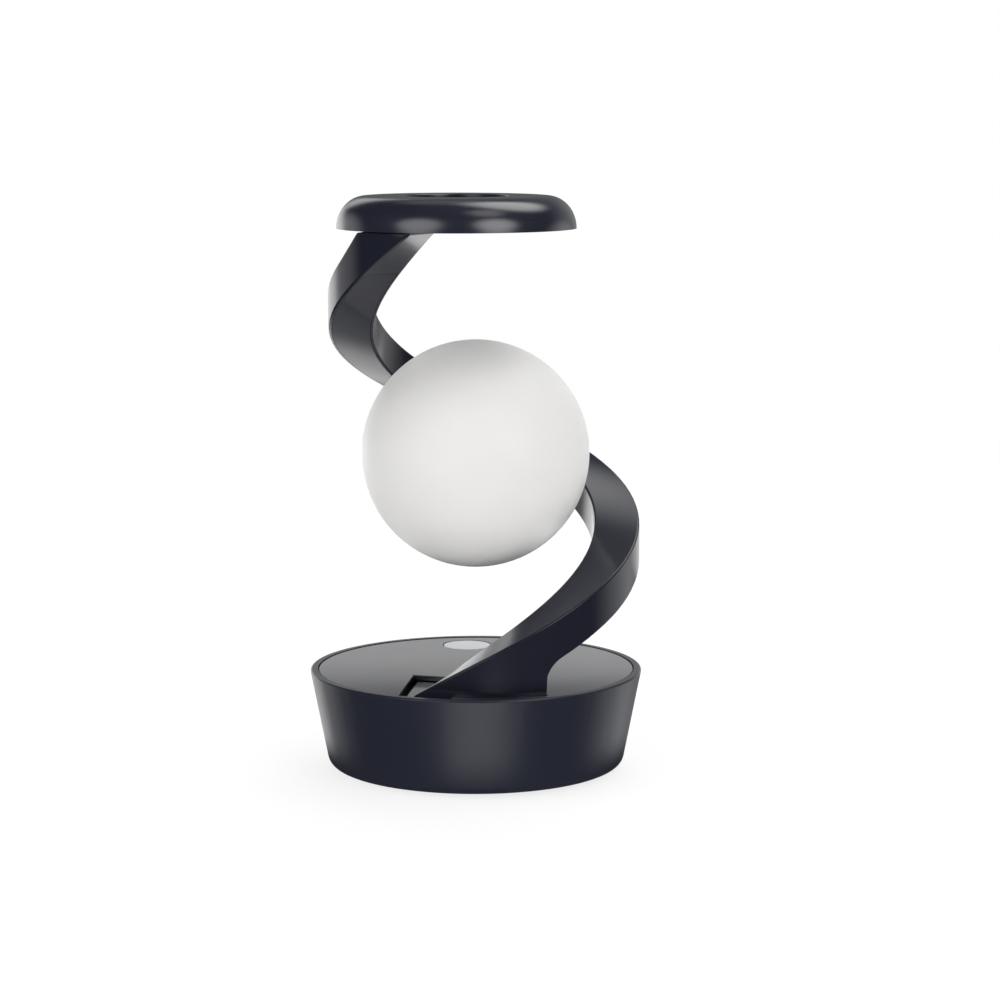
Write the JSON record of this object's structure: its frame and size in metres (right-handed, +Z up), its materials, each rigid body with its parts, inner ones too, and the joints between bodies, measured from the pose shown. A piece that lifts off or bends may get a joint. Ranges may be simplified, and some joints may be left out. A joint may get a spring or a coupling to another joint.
{
  "type": "bedside lamp",
  "caption": "Bedside lamp with a round weighted base, a spiral arm that carries a turning globe at its back, a push key in the base and a small round shelf on top.",
  "frame": {"origin": "middle of the base on the table that it stands on", "axes": "+Z up; -Y is the front, where the arm's foot stands; +X is to the right seen from the front"},
  "size_m": [0.125, 0.125, 0.215],
  "materials": {
    "navy_plastic": "satin dark navy grey",
    "black_plastic": "matt black",
    "gloss_panel": "glossy dark grey",
    "key_plastic": "satin light grey",
    "globe_plastic": "satin translucent warm white",
    "gear_plastic": "natural",
    "led_plastic": "clear over yellow",
    "board_plastic": "green lacquer",
    "foot_rubber": "matt",
    "cable_rubber": "matt white",
    "screw_steel": "bright",
    "ballast_iron": "dark",
    "hub_aluminium": "turned",
    "coil_copper": "enamelled copper"
  },
  "bodies": {
    "lamp": {"base_shell": "navy_plastic", "bottom_cover": "black_plastic", "rubber_feet": "foot_rubber", "cover_screws": "screw_steel", "ballast_plate": "ballast_iron", "main_board": "board_plastic", "board_chips": "black_plastic", "board_screws": "screw_steel", "usb_socket": "screw_steel", "base_deck": "black_plastic", "deck_screws": "screw_steel", "top_panel": "gloss_panel", "tact_switch": "screw_steel", "switch_board": "board_plastic", "switch_screws": "screw_steel", "arm_flange": "navy_plastic", "arm_screws": "screw_steel", "arm_shell": "navy_plastic", "arm_cover": "navy_plastic", "arm_cable": "cable_rubber", "shelf_cap": "navy_plastic", "shelf_plate": "navy_plastic", "shelf_pad": "foot_rubber", "shelf_screws": "screw_steel", "shelf_fixings": "screw_steel", "charge_coil": "coil_copper", "coil_backing": "ballast_iron", "hub_tube": "hub_aluminium", "hub_nut": "screw_steel", "hub_clip": "screw_steel", "hub_lead": "cable_rubber", "core_plate": "hub_aluminium", "core_posts": "hub_aluminium", "gear_motor": "screw_steel", "led_board": "hub_aluminium", "led_chips": "led_plastic"},
    "key": {"power_key": "key_plastic", "switch_plunger": "black_plastic"},
    "globe": {"globe_shell": "globe_plastic", "globe_collar": "globe_plastic"},
    "pinion": {"pinion": "gear_plastic"}
  },
  "joints": [
    {"name": "key_press", "type": "slide", "parent": "lamp", "child": "key", "axis": [0, 0, -1], "range_m": [0, 0.0006], "stiffness_N_per_m": 1500, "springref_m": -0.0002},
    {"name": "globe_turn", "type": "hinge", "parent": "lamp", "child": "globe", "pos_m": [0, -0.003, 0.11928], "axis": [0.3061, 0.952, 0], "continuous": true},
    {"name": "pinion_turn", "type": "hinge", "parent": "lamp", "child": "pinion", "pos_m": [0, -0.003, 0.13008], "axis": [0.3061, 0.952, 0], "continuous": true}
  ],
  "couplings": [
    {"joint": "pinion_turn", "follows": "globe_turn", "ratio": 4}
  ]
}
